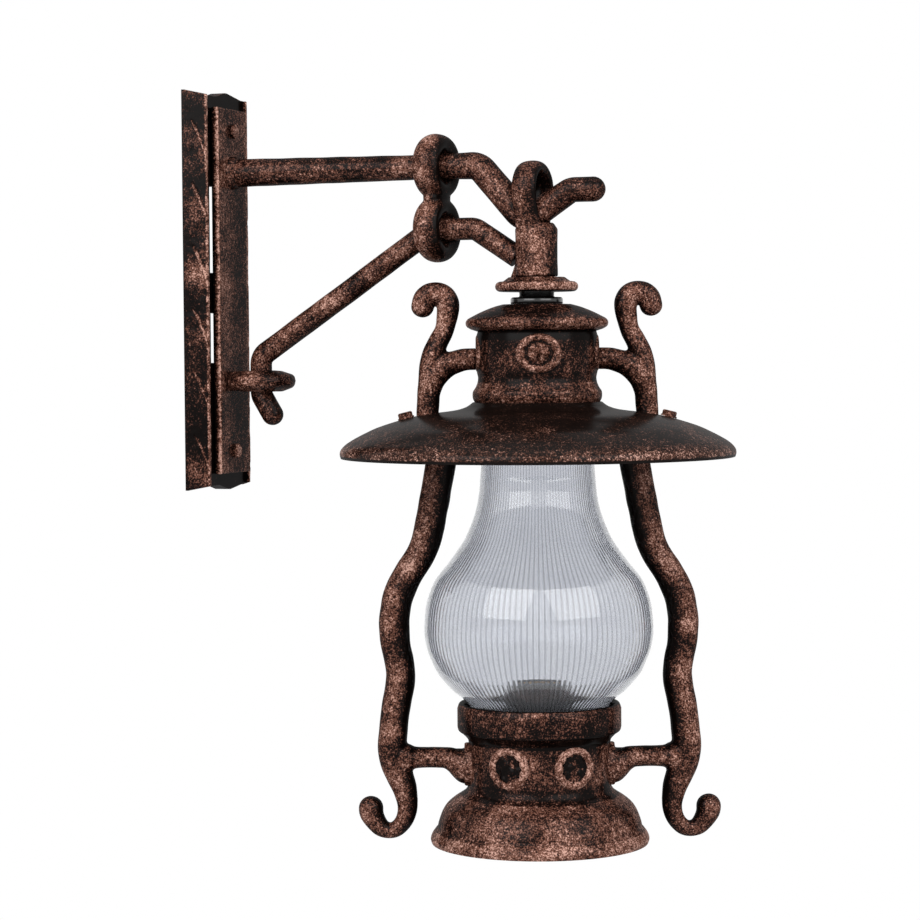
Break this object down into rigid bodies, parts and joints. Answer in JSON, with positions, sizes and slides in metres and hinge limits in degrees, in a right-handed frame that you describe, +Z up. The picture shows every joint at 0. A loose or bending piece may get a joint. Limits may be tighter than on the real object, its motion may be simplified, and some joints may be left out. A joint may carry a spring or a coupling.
{
  "type": "wall lantern",
  "caption": "Wall lantern shaped like an oil lamp: a rod bracket on a wall plate, a hanging lantern that turns, a wide metal shade, a ribbed glass globe and a cast base.",
  "frame": {"origin": "on the wall, in the middle of the wall plate's back", "axes": "+X out from the wall along the bracket, +Y along the wall, +Z up"},
  "size_m": [0.4444, 0.3168, 0.611],
  "materials": {
    "cast_finish": "antique copper speckle over black, clear coated, on cast aluminium",
    "steel_finish": "antique copper speckle over black, clear coated, on steel",
    "shade_finish": "smooth dark brown with fine copper speckle, clear coated",
    "black_steel": "gloss black",
    "zinc_steel": "bright zinc",
    "rubber_parts": "matt",
    "brass_parts": "plain",
    "black_phenolic": "matt black moulding",
    "ribbed_glass": "clear, fine upright ribs"
  },
  "bodies": {
    "bracket": {"wall_plate": "cast_finish", "front_bar": "cast_finish", "front_bar_bolts": "steel_finish", "front_bar_spacers": "steel_finish", "front_bar_nuts": "zinc_steel", "lead_inlet_grommet": "rubber_parts", "upper_rod": "steel_finish", "brace_rod": "steel_finish", "brace_eye": "steel_finish", "upper_ring": "steel_finish", "lower_ring": "steel_finish", "hanger_stem": "cast_finish", "hanger_flange": "cast_finish", "swivel_tube": "black_steel", "swivel_bush": "black_steel", "swivel_thrust_washer": "black_steel", "swivel_nut": "zinc_steel", "swivel_lock_nut": "zinc_steel"},
    "lantern": {"top_pot": "cast_finish", "shade": "shade_finish", "upper_arm_right": "cast_finish", "upper_arm_left": "cast_finish", "lower_arm_right": "cast_finish", "lower_arm_left": "cast_finish", "shade_bolts": "steel_finish", "shade_bolt_washers": "steel_finish", "upper_arm_screws": "zinc_steel", "pot_foot_screws": "zinc_steel", "upper_spoke_tubes": "zinc_steel", "upper_spoke_nuts": "zinc_steel", "lower_spoke_tubes": "zinc_steel", "lower_spoke_nuts": "zinc_steel", "glass_gallery": "black_steel", "glass_gallery_screws": "brass_parts", "glass_neck_seal": "rubber_parts", "glass_globe": "ribbed_glass", "glass_seat_ring": "rubber_parts", "base_casting": "cast_finish", "base_cover_gasket": "rubber_parts", "base_cover": "black_steel", "base_cover_screws": "zinc_steel", "lampholder_plate": "zinc_steel", "lampholder_plate_screws": "zinc_steel", "lampholder_body": "black_phenolic", "lampholder_screw_shell": "brass_parts", "lampholder_contact": "brass_parts", "lampholder_screws": "zinc_steel", "terminal_block": "black_phenolic"}
  },
  "joints": [
    {"name": "swivel", "type": "hinge", "parent": "bracket", "child": "lantern", "pos_m": [0.286, 0, -0.02195], "axis": [0, 0, 1], "range_deg": [-110, 70]}
  ]
}
